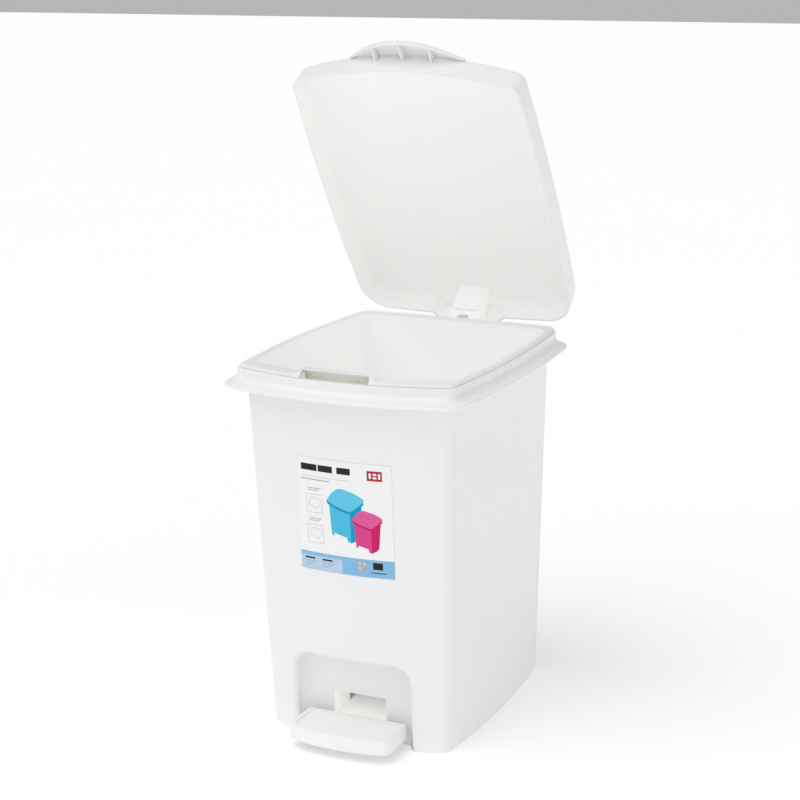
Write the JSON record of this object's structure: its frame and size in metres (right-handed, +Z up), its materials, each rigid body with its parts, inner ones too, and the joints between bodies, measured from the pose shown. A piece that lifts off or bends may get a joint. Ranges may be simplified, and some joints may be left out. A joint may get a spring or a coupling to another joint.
{
  "type": "pedal bin",
  "caption": "Tapered white plastic pedal bin with a domed rear-hinged lid, lift-out bucket with finger slot, and a front foot pedal linked to the lid by a rear rod.",
  "frame": {"origin": "on the floor under the middle of the collar", "axes": "+Z up, +Y to the rear where the hinge is, -Y to the front where the pedal is, +X to the bin's left as seen from behind"},
  "size_m": [0.283, 0.3895, 0.7246],
  "materials": {
    "white_plastic": "soft-gloss moulded polypropylene",
    "rod_plastic": "satin moulded plastic",
    "white_caps": "soft gloss",
    "zinc_steel": "zinc plated",
    "bright_steel": "drawn bright",
    "spring_steel": "phosphated",
    "label_film": "glossy printed film"
  },
  "bodies": {
    "casing": {"outer_body": "white_plastic", "base_plate": "white_plastic", "base_screws": "zinc_steel", "spine_cover": "white_plastic", "spine_cover_screws": "zinc_steel", "rod_guide": "white_plastic", "pedal_axle": "bright_steel", "axle_clips": "spring_steel", "inner_bucket": "white_plastic", "hinge_pin": "bright_steel", "hinge_pin_caps": "white_caps", "label": "label_film"},
    "lid": {"lid": "white_plastic", "hinge_cover": "white_plastic", "rod_pin": "bright_steel"},
    "rod": {"push_rod": "rod_plastic"},
    "pedal": {"pedal_tread": "white_plastic", "pedal_lever": "rod_plastic", "lever_screws": "zinc_steel", "lever_pin": "bright_steel", "lever_pin_clips": "spring_steel"}
  },
  "joints": [
    {"name": "lid_hinge", "type": "hinge", "parent": "casing", "child": "lid", "pos_m": [0, 0.1886, 0.3842], "axis": [1, 0, 0], "range_deg": [0, 57]},
    {"name": "pedal_pivot", "type": "hinge", "parent": "casing", "child": "pedal", "pos_m": [0, 0.048, 0.024], "axis": [1, 0, 0], "range_deg": [-9.6, 0]},
    {"name": "rod_pivot", "type": "hinge", "parent": "lid", "child": "rod", "pos_m": [0, 0.17183, 0.39684], "axis": [1, 0, 0], "range_deg": [-56.5, 0]}
  ],
  "couplings": [
    {"joint": "pedal_pivot", "follows": "lid_hinge", "ratio": -0.1682},
    {"joint": "rod_pivot", "follows": "lid_hinge", "ratio": -0.99}
  ]
}
